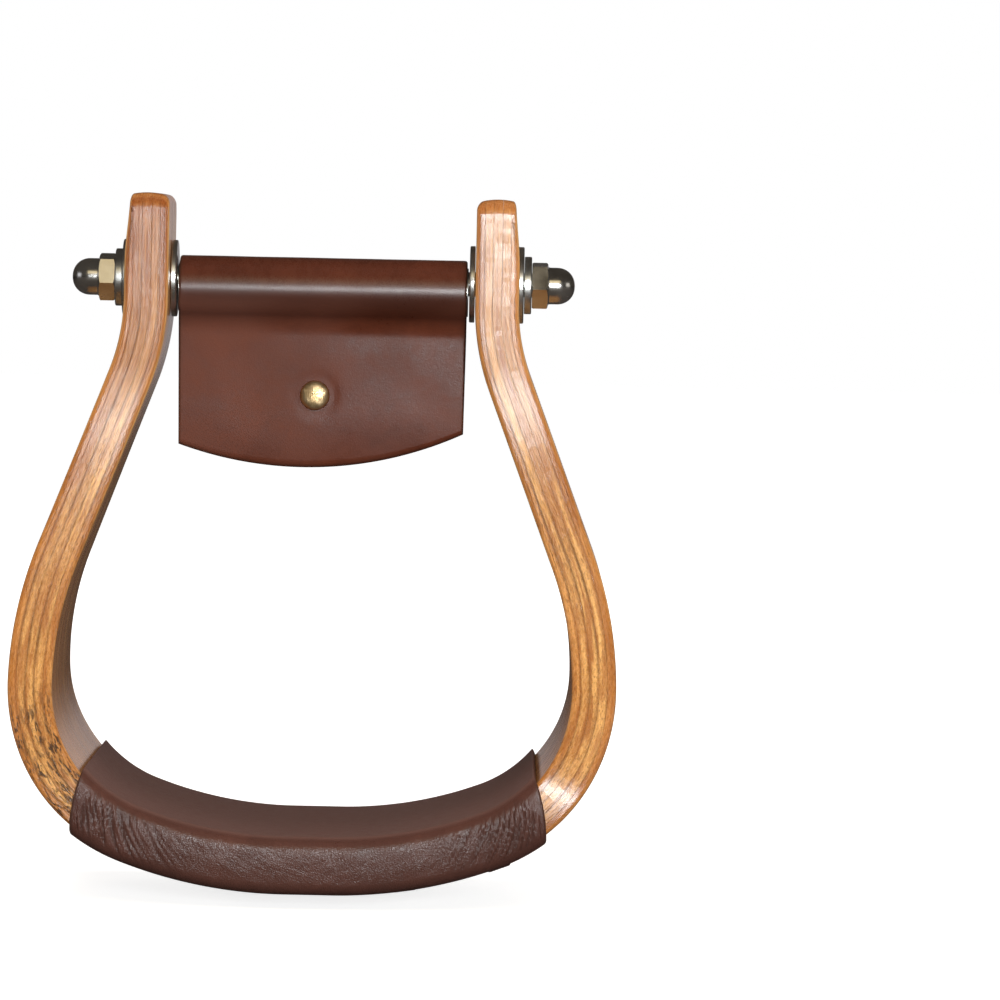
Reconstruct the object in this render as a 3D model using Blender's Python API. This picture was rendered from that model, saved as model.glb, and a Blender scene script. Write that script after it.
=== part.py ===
"""A Western stirrup: a bow bent from five glued wooden plies, a tread cover of
leather laced underneath, and a quarter-inch cross bolt that carries a steel
roller tube in a riveted leather cover.

Sizes are in millimetres. The origin is the middle of the cross bolt, +X runs
along the bolt, +Y is the far side of the stirrup, +Z is up towards the saddle.
"""

import math

import bmesh
import bpy
from mathutils import Matrix

for leftover in list(bpy.data.objects):
    bpy.data.objects.remove(leftover, do_unlink=True)

MM = 0.001

# The bow.
BOW_WIDTH = 156.1  # over the outer faces at the widest level
BOLT_DROP = 154.5  # bolt axis to the underside of the wood
NECK_WIDTH = 79.4  # clear width between the two arms at the bolt
PLY = 2.2  # thickness of one ply
GLUE = 0.1  # glue line between two plies
ARM_TOP = 22.2  # bolt axis to the top of an arm
ARM_DEPTH = 40.9  # front to back at the bolt
TREAD_DEPTH = 98.2  # front to back of the wooden tread
TREAD_FLAT = 6.0  # half length of the flat in the middle of the tread
TREAD_BEND = 113.0  # bend radii on the middle of the middle ply
CORNER_BEND = 40.7
SIDE_STRAIGHT = 48.3  # straight between the belly's bend and the neck's
BELLY_SHARE = 0.612  # the belly's share of the two bend radii together
NECK_STRAIGHT = 5.0  # bolt axis down to where the neck begins to bend
FLARE_START = 20.0  # bolt axis down to where the strip begins to widen
FLARE_END = 136.0  # bolt axis down to where it has its full depth
FLARE_STRAIGHT = 22.9  # straight cut between the hollow and the round one
HOLLOW_SHARE = 0.833  # the hollow cut's share of the two radii together
EDGE_ROUND = 1.3  # rounding of the long edges
TOP_CORNER = 4.0  # rounding of the arm tops, seen from the side
TOP_SANDING = 1.2  # wood sanded off the outer face towards the top
HOLE_PLAY = 0.85  # bolt hole over the bolt
SPOT_DEPTH = 0.5  # flat seat cut for the outer washers
SANDING_START = 4.0  # bolt axis up to where the sanding begins

# The cross bolt and what is threaded on it.
BOLT = 6.35
WASHER = 20.0
WASHER_THICK = 1.4
OUTER_WASHER_THICK = 1.6
SMALL_WASHER = 15.0
SMALL_WASHER_THICK = 1.9
WASHER_PLAY = 0.55  # washer bore over the bolt
NUT_PLAY = 0.45  # nut bore over the bolt
NUT_WALL = 2.38  # bolt to the middle of a flat
NUT_HEX_LENGTH = 4.0
DOME_WALL = 1.62  # bolt to the outside of the dome
NUT_DOME_LENGTH = 7.2
NUT_BORE_DEPTH = 7.6
STACK_GAP = 0.1  # between two pieces clamped face to face

# The roller.
TUBE = 12.7
TUBE_WALL = 0.8
TUBE_END_GAP = 0.3  # between the tube and an inner washer
HANG_GAP = 0.17  # the tube hangs on the bolt with this left over it
LEATHER = 1.8
LEATHER_FIT = 0.15
COVER_END_GAP = 0.6  # between the leather and an inner washer
LAYER_GAP = 0.2  # between the two layers of the flap
FLAP_DROP = 48.6  # bolt axis to the lowest point of the flap
FLAP_ROUND = 99.0  # radius of its lower edge
FLAP_TILT = 3.0  # degrees by which the lower edge was cut askew
FLAP_TAPER = 0.6  # narrowing at each side over the drop
PINCH_DROP = 14.5  # bolt axis to where the two layers come together
RIVET_X = -1.7
RIVET_DROP = 29.8
RIVET_CAP = 7.8
RIVET_CAP_HEIGHT = 1.7
RIVET_SHANK = 2.8
RIVET_FIT = 0.3
BURR_THICK = 0.9

# The tread cover and its lace.
COVER = 1.5
COVER_FIT = 0.3
COVER_HALF = 63.5  # half length, along the middle of the strip
COVER_SKEW = 3.8  # the ends lean, so the top reaches further than the bottom
SEAM = 0.8
HUMP = 2.3  # how far the leather stands off over the lace
HUMP_FLAT = 8.5
HUMP_HALF = 14.5
HUMP_RUN = 50.5  # the hump begins to die away here
HUMP_END = 58.0
LACE_THICK = 1.4
LACE_WIDTH = 5.4
LACE_FIT = 0.3
LACE_PITCH = 23.0
LACE_REACH = 10.2  # seam to the middle of a slit
LACE_TURN = 0.9

HALF = (5 * PLY + 4 * GLUE) / 2  # half the thickness of the bow
LEVEL = math.pi / 2


def material(name, colour, metallic=0.0, roughness=0.5):
    made = bpy.data.materials.new(name)
    made.use_nodes = True
    shader = made.node_tree.nodes["Principled BSDF"]
    shader.inputs["Base Color"].default_value = (*colour, 1.0)
    shader.inputs["Metallic"].default_value = metallic
    shader.inputs["Roughness"].default_value = roughness
    return made


def finished(name, bm, made, smooth=False):
    """The bmesh, in millimetres, as an object in metres with its normals out."""
    bmesh.ops.remove_doubles(bm, verts=bm.verts, dist=1e-5)
    bmesh.ops.recalc_face_normals(bm, faces=bm.faces)
    bmesh.ops.scale(bm, vec=(MM, MM, MM), verts=bm.verts)
    mesh = bpy.data.meshes.new(name)
    bm.to_mesh(mesh)
    bm.free()
    if smooth:
        mesh.shade_smooth()
        mesh.set_sharp_from_angle(angle=math.radians(30))
    mesh.materials.append(made)
    obj = bpy.data.objects.new(name, mesh)
    bpy.context.scene.collection.objects.link(obj)
    return obj


def loft(rings):
    """A closed body through rings of equal length, with flat ends."""
    bm = bmesh.new()
    face = bm.faces.new([bm.verts.new(point) for point in rings[0]])
    current = list(face.verts)
    for ring in rings[1:]:
        made = [bm.verts.new(point) for point in ring]
        for i in range(len(ring)):
            j = (i + 1) % len(ring)
            bm.faces.new((current[i], current[j], made[j], made[i]))
        current = made
    bm.faces.new(current)
    return bm


def turned(profile, segments=32, flats=False):
    """A body of revolution about X from a closed (x, radius) profile."""
    bm = bmesh.new()
    verts = [bm.verts.new((x, 0.0, r)) for x, r in profile]
    edges = [bm.edges.new((verts[i], verts[i - 1])) for i in range(len(verts))]
    for edge in [e for e in edges if max(abs(v.co.z) for v in e.verts) < 1e-9]:
        bm.edges.remove(edge)
    bmesh.ops.spin(
        bm,
        geom=bm.verts[:] + bm.edges[:],
        cent=(0, 0, 0),
        axis=(1, 0, 0),
        angle=2 * math.pi,
        steps=segments,
        use_merge=True,
    )
    return bm


def s_curve(across, along, straight, share):
    """Two opposed bends joined by a straight: their angle and their radii."""
    both = (across**2 + along**2 - straight**2) / (2 * across)
    angle = math.atan2(along, both - across) - math.atan2(straight, both)
    return angle, both * share, both * (1 - share)


# ---------------------------------------------------------------- the bow
BELLY_X = BOW_WIDTH / 2 - HALF
NECK_X = NECK_WIDTH / 2 + HALF
BOTTOM_Z = -BOLT_DROP + HALF
tread_turn = math.asin(
    (BELLY_X - TREAD_FLAT - CORNER_BEND) / (TREAD_BEND - CORNER_BEND)
)
belly_z = (
    BOTTOM_Z
    + TREAD_BEND * (1 - math.cos(tread_turn))
    + CORNER_BEND * math.cos(tread_turn)
)
lean, belly_bend, neck_bend = s_curve(
    BELLY_X - NECK_X, -NECK_STRAIGHT - belly_z, SIDE_STRAIGHT, BELLY_SHARE
)
# (length along the strip, turn) of each stretch, from the middle of the tread.
STRETCHES = [
    (TREAD_FLAT, 0.0, 1),
    (TREAD_BEND * tread_turn, tread_turn, 8),
    (CORNER_BEND * (LEVEL - tread_turn), LEVEL - tread_turn, 14),
    (belly_bend * lean, lean, 6),
    (SIDE_STRAIGHT, 0.0, 3),
    (neck_bend * lean, -lean, 6),
    (NECK_STRAIGHT + ARM_TOP, 0.0, 1),
]
TOTAL = sum(length for length, _, _ in STRETCHES)


def along(s):
    """Middle of the strip at length s: x, z and the direction it runs in."""
    side = -1.0 if s < 0 else 1.0
    left = abs(s)
    x, z, way = 0.0, BOTTOM_Z, 0.0
    for length, turn, _ in STRETCHES:
        step = min(left, length)
        if length == STRETCHES[-1][0]:
            step = left
        share = turn * step / length
        if abs(share) < 1e-12:
            x += step * math.cos(way)
            z += step * math.sin(way)
        else:
            radius = step / share
            x += radius * (math.sin(way + share) - math.sin(way))
            z += radius * (math.cos(way) - math.cos(way + share))
        way += share
        left -= step
        if left <= 1e-9:
            break
    return side * x, z, side, way


def placed(s, n, y):
    """The point at length s, n out from the middle of the strip, and y."""
    x, z, side, way = along(s)
    return (x + side * n * math.sin(way), y, z - n * math.cos(way))


flare_turn, hollow, rounded = s_curve(
    (TREAD_DEPTH - ARM_DEPTH) / 2,
    FLARE_END - FLARE_START,
    FLARE_STRAIGHT,
    HOLLOW_SHARE,
)


def half_depth(s):
    """Half the front-to-back size of the strip at length s."""
    down = -along(s)[1] - FLARE_START
    if down <= 0:
        depth = ARM_DEPTH / 2
    elif down >= FLARE_END - FLARE_START:
        depth = TREAD_DEPTH / 2
    elif down <= hollow * math.sin(flare_turn):
        depth = ARM_DEPTH / 2 + hollow - math.sqrt(hollow**2 - down**2)
    elif down >= FLARE_END - FLARE_START - rounded * math.sin(flare_turn):
        rest = FLARE_END - FLARE_START - down
        depth = TREAD_DEPTH / 2 - rounded + math.sqrt(rounded**2 - rest**2)
    else:
        begin = hollow * math.sin(flare_turn)
        depth = (
            ARM_DEPTH / 2
            + hollow * (1 - math.cos(flare_turn))
            + (down - begin) * math.tan(flare_turn)
        )
    over = abs(s) - (TOTAL - TOP_CORNER)
    if over > 0:
        depth -= TOP_CORNER - math.sqrt(max(TOP_CORNER**2 - over**2, 0.0))
    return depth


def sanded(s):
    """How much is sanded off the outer face at length s."""
    rise = along(s)[1] - SANDING_START
    share = min(max(rise / (ARM_TOP - SANDING_START), 0.0), 1.0)
    return TOP_SANDING * share * share * (3 - 2 * share)


stations = [0.0]
for length, _, parts in STRETCHES[:-1]:
    stations += [stations[-1] + length * (k + 1) / parts for k in range(parts)]
stations += [
    TOTAL - ARM_TOP + SANDING_START + (ARM_TOP - TOP_CORNER - SANDING_START) * k / 5
    for k in range(5)
]
stations += [
    TOTAL - TOP_CORNER + TOP_CORNER * math.sin(math.radians(a))
    for a in (0, 20, 40, 58, 75, 90)
]
stations = [-s for s in reversed(stations[1:])] + stations

ROUND_STEPS = [math.radians(a) for a in (0, 30, 60, 90)]


def ply_section(s, index):
    """The outline of one ply: a plain strip, or one with two rounded edges."""
    low = -HALF + index * (PLY + GLUE)
    high = low + PLY
    b = half_depth(s)
    r = EDGE_ROUND
    if index == 4:
        high -= sanded(s)
        arc = [(high - r + r * math.sin(a), b - r + r * math.cos(a)) for a in ROUND_STEPS]
        back = [(n, -y) for n, y in reversed(arc)]
        return [(low, b)] + arc + back + [(low, -b)]
    if index == 0:
        arc = [(low + r - r * math.sin(a), b - r + r * math.cos(a)) for a in ROUND_STEPS]
        back = [(n, -y) for n, y in reversed(arc)]
        return [(high, b)] + arc + back + [(high, -b)]
    return [(low, b), (high, b), (high, -b), (low, -b)]


def helper(name, bm):
    obj = finished(name, bm, material(name, (0.5, 0.5, 0.5)))
    obj.hide_render = True
    obj.display_type = "WIRE"
    return obj


def cut(obj, tool, name):
    modifier = obj.modifiers.new(name, "BOOLEAN")
    modifier.operation = "DIFFERENCE"
    modifier.solver = "EXACT"
    modifier.object = tool


reach = BOW_WIDTH / 2 + 5
wood_hole = (BOLT + HOLE_PLAY) / 2
hole_tool = helper(
    "bolt_hole_tool",
    turned(
        [(-reach, 0), (-reach, wood_hole), (reach, wood_hole), (reach, 0)], 24
    ),
)
seat = NECK_X + HALF - SPOT_DEPTH
spot_tools = []
for side, label in ((-1, "left"), (1, "right")):
    radius = WASHER / 2 + 0.4
    spot_tools.append(
        helper(
            "spot_face_tool_" + label,
            turned(
                [
                    (side * seat, 0),
                    (side * seat, radius),
                    (side * (seat + 15), radius),
                    (side * (seat + 15), 0),
                ],
                40,
            ),
        )
    )

PLIES = ["inner_face_ply", "inner_core_ply", "middle_core_ply"]
PLIES += ["outer_core_ply", "outer_face_ply"]
FACE_WOOD = material("face_veneer", (0.62, 0.36, 0.16), roughness=0.25)
CORE_WOOD = material("core_veneer", (0.70, 0.45, 0.24), roughness=0.3)
for index, name in enumerate(PLIES):
    rings = [
        [placed(s, n, y) for n, y in ply_section(s, index)] for s in reversed(stations)
    ]
    wood = FACE_WOOD if index in (0, 4) else CORE_WOOD
    ply = finished(name, loft(rings), wood, smooth=True)
    cut(ply, hole_tool, "bolt_hole")
    if index == 4:
        cut(ply, spot_tools[0], "spot_face_left")
        cut(ply, spot_tools[1], "spot_face_right")

# ------------------------------------------------- the bolt and its hardware
CHROME = material("chromed_steel", (0.75, 0.74, 0.72), 1.0, 0.12)
ZINC = material("zinc_steel", (0.62, 0.62, 0.62), 1.0, 0.3)
washer_in = NECK_WIDTH / 2 - 0.2
washer_start = seat + STACK_GAP
small_start = washer_start + OUTER_WASHER_THICK + STACK_GAP
nut_start = small_start + SMALL_WASHER_THICK + STACK_GAP
nut_tip = nut_start + NUT_HEX_LENGTH + NUT_DOME_LENGTH
bolt_end = nut_start + NUT_BORE_DEPTH - 1.0
bolt_r = BOLT / 2
chamfer = 0.7
finished(
    "cross_bolt",
    turned(
        [
            (-bolt_end, 0),
            (-bolt_end, bolt_r - chamfer),
            (-bolt_end + chamfer, bolt_r),
            (bolt_end - chamfer, bolt_r),
            (bolt_end, bolt_r - chamfer),
            (bolt_end, 0),
        ],
        28,
    ),
    ZINC,
    smooth=True,
)


def washer(name, start, outer, thick, side):
    edge = 0.25
    bore = (BOLT + WASHER_PLAY) / 2
    rim = outer / 2
    profile = [(start, bore), (start, rim - edge), (start + edge, rim)]
    profile += [(start + thick - edge, rim), (start + thick, rim - edge)]
    profile += [(start + thick, bore)]
    finished(
        name, turned([(side * x, r) for x, r in profile], 40), ZINC, smooth=True
    )


for side, label in ((-1, "left"), (1, "right")):
    washer(
        "inner_washer_" + label, washer_in - WASHER_THICK, WASHER, WASHER_THICK, side
    )
    washer(
        "outer_washer_" + label, washer_start, WASHER, OUTER_WASHER_THICK, side
    )
    washer(
        "small_washer_" + label, small_start, SMALL_WASHER, SMALL_WASHER_THICK, side
    )
    # A cap nut: a turned blank with a blind bore, brought to six flats.
    corner = (bolt_r + NUT_WALL) / math.cos(math.radians(30))
    dome = bolt_r + DOME_WALL
    bore = (BOLT + NUT_PLAY) / 2
    hex_end = nut_start + NUT_HEX_LENGTH
    crown = NUT_DOME_LENGTH - 2.6
    outline = [(nut_start, bore), (nut_start, corner - 0.5)]
    outline += [(nut_start + 0.45, corner + 0.3), (hex_end - 0.3, corner + 0.3)]
    outline += [(hex_end + 0.3, dome), (hex_end + 2.6, dome)]
    outline += [
        (hex_end + 2.6 + crown * math.sin(a), dome * math.cos(a))
        for a in (math.radians(k) for k in (15, 30, 45, 60, 75))
    ]
    outline += [(nut_tip, 0)]
    outline += [(nut_start + NUT_BORE_DEPTH + 1.2, 0)]
    outline += [(nut_start + NUT_BORE_DEPTH, bore)]
    nut = finished(
        "cap_nut_" + label,
        turned([(side * x, r) for x, r in outline], 36),
        CHROME,
        smooth=True,
    )
    bm = bmesh.new()
    bmesh.ops.create_cone(
        bm,
        cap_ends=True,
        segments=6,
        radius1=corner,
        radius2=corner,
        depth=NUT_HEX_LENGTH + NUT_DOME_LENGTH + 4,
    )
    bmesh.ops.rotate(
        bm,
        verts=bm.verts,
        cent=(0, 0, 0),
        matrix=Matrix.Rotation(LEVEL, 3, "Y"),
    )
    bmesh.ops.translate(
        bm, verts=bm.verts, vec=(side * (nut_start + nut_tip) / 2, 0, 0)
    )
    hexagon = helper("hexagon_tool_" + label, bm)
    modifier = nut.modifiers.new("flats", "BOOLEAN")
    modifier.operation = "INTERSECT"
    modifier.solver = "EXACT"
    modifier.object = hexagon

# ---------------------------------------------------------------- the roller
tube_r = TUBE / 2
tube_in = tube_r - TUBE_WALL
AXIS_Z = -(tube_in - bolt_r - HANG_GAP)  # the tube hangs on the bolt
tube_half = washer_in - WASHER_THICK - TUBE_END_GAP
ROLLER_STEPS = 32

pivot = bpy.data.objects.new("roller_pivot", None)
pivot.location = (0, 0, AXIS_Z * MM)
bpy.context.scene.collection.objects.link(pivot)


def on_pivot(obj):
    """Hands the piece to the pivot, with the mesh read from the roller axis."""
    obj.parent = pivot
    return obj


on_pivot(
    finished(
        "roller_tube",
        turned(
            [
                (-tube_half, tube_in),
                (-tube_half, tube_r),
                (tube_half, tube_r),
                (tube_half, tube_in),
            ],
            ROLLER_STEPS,
        ),
        ZINC,
        smooth=True,
    )
)

# The cover is one strip folded round the tube: its middle line runs up the
# front layer, round the tube and down the back layer.
wrap = tube_r + LEATHER_FIT  # inner radius of the leather
flap_y = LAYER_GAP / 2 + LEATHER / 2  # middle of a layer
middle_r = wrap + LEATHER / 2
pinch = PINCH_DROP + AXIS_Z  # roller axis down to the pinch
cover_half = washer_in - WASHER_THICK - COVER_END_GAP

# A hollow bend leads from the flap out to the tube: it is tangent to the
# layer at the pinch and to the circle of the wrap.
bend = (pinch**2 + flap_y**2 - middle_r**2) / (2 * (middle_r - flap_y))
join = math.atan2(pinch, bend + flap_y)


def lower_edge(x):
    """Roller axis down to the lower edge of the flap at x."""
    tilt = math.radians(FLAP_TILT)
    turned_x = x / cover_half
    rise = FLAP_ROUND - math.sqrt(FLAP_ROUND**2 - x**2)
    return FLAP_DROP + AXIS_Z - rise - x * math.tan(tilt) * (0.92 + 0.08 * turned_x**2)


def middle_line(x):
    """(y, z, outward y, outward z) down the front half, top of the tube first."""
    line = []
    steps = ROLLER_STEPS // 2
    # Keep the wrap on the same facets as the tube, down to the hollow bend.
    for k in range(steps + 1):
        a = math.pi * k / steps
        if a < LEVEL + join - 0.02:
            line.append((middle_r * math.sin(a), middle_r * math.cos(a), a))
    a = LEVEL + join
    line.append((middle_r * math.sin(a), middle_r * math.cos(a), a))
    for k in range(1, 6):
        b = join * (1 - k / 5)
        line.append(
            (
                flap_y + bend - bend * math.cos(b),
                -pinch + bend * math.sin(b),
                LEVEL + b,
            )
        )
    depth = lower_edge(x)
    line += [
        (flap_y, -pinch - (depth - pinch) * k / 6, LEVEL) for k in range(1, 7)
    ]
    return line


def cover_ring(x):
    line = middle_line(x)
    outside = []
    inside = []
    for y, z, a in line:
        outside.append((y + LEATHER / 2 * math.sin(a), z + LEATHER / 2 * math.cos(a)))
        inside.append((y - LEATHER / 2 * math.sin(a), z - LEATHER / 2 * math.cos(a)))
    ring = [(-y, z) for y, z in reversed(outside[1:])] + outside
    ring += list(reversed(inside)) + [(-y, z) for y, z in inside[1:]]
    shrink = FLAP_TAPER / (FLAP_DROP * cover_half)
    return [
        (x * (1 - shrink * max(-z - pinch, 0.0)), y, z) for y, z in ring
    ]


COLUMNS = 18
rings = [cover_ring(cover_half * (2 * k / COLUMNS - 1)) for k in range(COLUMNS + 1)]
FLAP_LEATHER = material("flap_leather", (0.17, 0.06, 0.035), roughness=0.55)
roller_cover = on_pivot(
    finished("roller_cover", loft(rings), FLAP_LEATHER, smooth=True)
)


def stood(bm, y):
    """Turns a body of revolution about X to run along Y, at the rivet."""
    bmesh.ops.rotate(
        bm,
        verts=bm.verts,
        cent=(0, 0, 0),
        matrix=Matrix.Rotation(LEVEL, 3, "Z"),
    )
    bmesh.ops.translate(bm, verts=bm.verts, vec=(RIVET_X, y, -RIVET_DROP - AXIS_Z))
    return bm


hole_r = RIVET_SHANK / 2 + RIVET_FIT
rivet_hole = helper(
    "rivet_hole_tool",
    stood(turned([(-6, 0), (-6, hole_r), (6, hole_r), (6, 0)], 24), 0),
)
on_pivot(rivet_hole)
cut(roller_cover, rivet_hole, "rivet_hole")

face = LAYER_GAP / 2 + LEATHER + 0.15
shank = RIVET_SHANK / 2
cap_r = RIVET_CAP / 2
far = face + BURR_THICK + 0.1
outline = [
    (-face - RIVET_CAP_HEIGHT * math.cos(a) - 0.001, cap_r * math.sin(a))
    for a in (math.radians(k) for k in (0, 20, 40, 58, 75, 88))
]
outline += [(-face, cap_r - 0.15), (-face, shank), (far, shank)]
outline += [(far, shank + 0.7), (far + 0.35, shank + 0.6), (far + 0.65, 0)]
BRASS = material("rivet_brass", (0.75, 0.56, 0.33), 1.0, 0.28)
on_pivot(finished("flap_rivet", stood(turned(outline, 28), 0), BRASS, smooth=True))
outline = [
    (face, shank + 0.2),
    (face, cap_r),
    (face + BURR_THICK * 0.55, cap_r - 0.2),
    (face + BURR_THICK, cap_r - 1.3),
    (face + BURR_THICK, shank + 0.2),
]
on_pivot(finished("rivet_burr", stood(turned(outline, 28), 0), BRASS, smooth=True))

# ----------------------------------------------------------- the tread cover
cover_low = -HALF - COVER_FIT
cover_high = HALF + COVER_FIT


def hump(s, y):
    """How far the leather stands off the wood over the lace."""
    across = min(max((abs(y) - HUMP_FLAT) / (HUMP_HALF - HUMP_FLAT), 0.0), 1.0)
    ends = min(max((abs(s) - HUMP_RUN) / (HUMP_END - HUMP_RUN), 0.0), 1.0)
    fall = 0.5 + 0.5 * math.cos(math.pi * across)
    return HUMP * fall * (0.5 + 0.5 * math.cos(math.pi * ends))


def own_length(share, n):
    """The ends lean: a line on the foot side runs further than one below."""
    return share * (COVER_HALF - COVER_SKEW * n / cover_high)


def sleeve_half(share, out):
    """Half of one outline, from the seam round to the middle of the top."""
    points = []
    r = EDGE_ROUND + COVER_FIT + out
    n = cover_high + out
    s = own_length(share, n)
    for y in (SEAM / 2, 4.5, 8.5, 9.7, 10.9, 12.1, 13.3, HUMP_HALF, 30.0):
        points.append((s, n + hump(s, y), y))
    for a in ROUND_STEPS:
        at = n - r + r * math.cos(a)
        s = own_length(share, at)
        edge = half_depth(s) + COVER_FIT + out
        points.append((s, at, edge - r + r * math.sin(a)))
    n = cover_low - out
    for a in reversed(ROUND_STEPS):
        at = n + r - r * math.cos(a)
        s = own_length(share, at)
        edge = half_depth(s) + COVER_FIT + out
        points.append((s, at, edge - r + r * math.sin(a)))
    return points


def sleeve_ring(share):
    outer = sleeve_half(share, COVER)
    inner = sleeve_half(share, 0.0)
    loop = outer + [(s, n, -y) for s, n, y in reversed(outer)]
    loop += [(s, n, -y) for s, n, y in inner] + list(reversed(inner))
    return [placed(*point) for point in loop]


flat_share = TREAD_FLAT / (COVER_HALF + COVER_SKEW + COVER_SKEW * COVER / cover_high)
shares = [0.0, flat_share]
shares += [flat_share + (1 - flat_share) * k / 15 for k in range(1, 16)]
shares = [-u for u in reversed(shares[1:])] + shares
TREAD_LEATHER = material("tread_leather", (0.10, 0.045, 0.03), roughness=0.5)
tread_cover = finished(
    "tread_cover", loft([sleeve_ring(u) for u in shares]), TREAD_LEATHER, smooth=True
)

crossings = [LACE_PITCH * k for k in (-2, -1, 0, 1, 2)]
bm = bmesh.new()
for s in crossings:
    for side in (-1, 1):
        low = cover_high - 0.1
        high = cover_high + HUMP + COVER + 1.0
        half_s = LACE_WIDTH / 2 + LACE_FIT
        half_y = LACE_THICK / 2 + LACE_FIT
        box = bmesh.ops.create_cube(bm, size=1.0)["verts"]
        for vert in box:
            x, y, z = vert.co
            vert.co = placed(
                s + 2 * x * half_s,
                low + (z + 0.5) * (high - low),
                side * LACE_REACH + 2 * y * half_y,
            )
slits = helper("slit_tool", bm)
cut(tread_cover, slits, "slits")

# The lace crosses the seam outside, goes in through a slit and runs back
# under the leather to the next crossing.
outside_n = cover_high + HUMP + COVER + LACE_FIT + LACE_THICK / 2
inside_n = HALF + (COVER_FIT + HUMP) / 2
knee = LACE_REACH - LACE_TURN


def turn(s, side, outward):
    """The two bends through a slit: points with the way the lace faces."""
    bends = []
    for a in (0, 30, 60, 90):
        a = math.radians(a)
        bends.append(
            (
                s,
                inside_n + LACE_TURN * (1 - math.cos(a)),
                side * (knee + LACE_TURN * math.sin(a)),
                side * math.sin(a),
                -math.cos(a),
            )
        )
    for a in (90, 60, 30, 0):
        a = math.radians(a)
        bends.append(
            (
                s,
                outside_n - LACE_TURN * (1 - math.cos(a)),
                side * (knee + LACE_TURN * math.sin(a)),
                side * math.sin(a),
                math.cos(a),
            )
        )
    return bends if outward else list(reversed(bends))


path = [(crossings[0], inside_n, -3.0, 0.0, -1.0)]
for s in crossings:
    path += turn(s, -1, True)
    path += turn(s, 1, False)
    if s != crossings[-1]:
        path += [
            (s + LACE_PITCH * k / 5, inside_n, knee * (1 - 2 * k / 5), 0.0, -1.0)
            for k in (1, 2, 3, 4)
        ]
path.append((crossings[-1], inside_n, 3.0, 0.0, -1.0))
rings = []
for s, n, y, out_y, out_n in path:
    ring = []
    for width, thick in ((-1, -1), (1, -1), (1, 1), (-1, 1)):
        shift = thick * LACE_THICK / 2
        ring.append(
            placed(s + width * LACE_WIDTH / 2, n + shift * out_n, y + shift * out_y)
        )
    rings.append(ring)
finished("tread_lace", loft(rings), material("lace_leather", (0.13, 0.055, 0.035)))
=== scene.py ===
"""A Western stirrup with a laminated bow, a laced tread cover and a roller in a
riveted leather flap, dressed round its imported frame. Sizes are in millimetres,
measured from the cross bolt's axis; only the finished meshes are in metres.
"""

import math

import bmesh
import bpy
import numpy as np
from mathutils import Matrix, Vector, noise
from mathutils.kdtree import KDTree


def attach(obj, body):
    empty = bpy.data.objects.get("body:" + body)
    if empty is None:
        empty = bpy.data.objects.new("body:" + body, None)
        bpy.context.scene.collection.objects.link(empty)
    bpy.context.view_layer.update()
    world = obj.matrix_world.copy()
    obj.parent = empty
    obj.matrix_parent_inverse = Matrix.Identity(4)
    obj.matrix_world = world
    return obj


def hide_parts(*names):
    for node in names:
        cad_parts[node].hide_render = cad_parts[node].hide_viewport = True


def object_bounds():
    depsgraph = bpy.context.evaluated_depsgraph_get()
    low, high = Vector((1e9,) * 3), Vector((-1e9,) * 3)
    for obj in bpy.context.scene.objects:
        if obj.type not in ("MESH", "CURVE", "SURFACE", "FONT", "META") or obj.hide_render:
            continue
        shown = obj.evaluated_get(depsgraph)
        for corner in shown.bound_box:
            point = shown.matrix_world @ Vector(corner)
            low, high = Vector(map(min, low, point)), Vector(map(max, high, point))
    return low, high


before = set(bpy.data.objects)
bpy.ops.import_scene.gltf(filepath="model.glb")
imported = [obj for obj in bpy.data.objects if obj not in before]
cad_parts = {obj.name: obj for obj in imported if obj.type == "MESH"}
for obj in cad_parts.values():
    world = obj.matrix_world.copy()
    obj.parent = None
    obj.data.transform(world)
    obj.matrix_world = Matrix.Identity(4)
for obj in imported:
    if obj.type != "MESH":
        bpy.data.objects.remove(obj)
cad_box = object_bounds()

# The bow: five veneers, glued and bent round a former in one go, then cut to
# the bell shape, drilled, sanded and varnished. Each veneer is its own piece,
# a strip that follows the same bends a little further out than the last.

ply_thick = 2.2
glue_line = 0.1
bow_half = (5 * ply_thick + 4 * glue_line) / 2
arm_top = 22.2
tread_depth = 98.2
arm_depth = 40.9
former = {"flat": 6.0, "tread": 113.0, "corner": 40.7, "side": 48.3, "neck": 5.0}
flare_top, flare_height = 20.0, 116.0
squeeze = 0.035  # how far each veneer reaches into its glue lines
sanded_round, arris, tip_round = 1.3, 0.03, 2.2
front_corner, back_corner = 4.0, 6.0


def two_bends(across, rise, straight, share):
    both = (across**2 + rise**2 - straight**2) / (2 * across)
    angle = math.atan2(rise, both - across) - math.atan2(straight, both)
    return angle, both * share, both * (1 - share)


belly_x = 156.1 / 2 - bow_half
neck_x = 79.4 / 2 + bow_half
bottom_z = -154.5 + bow_half
tread_turn = math.asin(
    (belly_x - former["flat"] - former["corner"]) / (former["tread"] - former["corner"])
)
belly_z = (
    bottom_z
    + former["tread"] * (1 - math.cos(tread_turn))
    + former["corner"] * math.cos(tread_turn)
)
lean, belly_bend, neck_bend = two_bends(
    belly_x - neck_x, -former["neck"] - belly_z, former["side"], 0.612
)
corner_turn = math.pi / 2 - tread_turn
stretches = [
    (former["flat"], 0.0),
    (former["tread"] * tread_turn, tread_turn),
    (former["corner"] * corner_turn, corner_turn),
    (belly_bend * lean, lean),
    (former["side"], 0.0),
    (neck_bend * lean, -lean),
    (former["neck"] + arm_top, 0.0),
]
strip_half = sum(length for length, _ in stretches)


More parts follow.
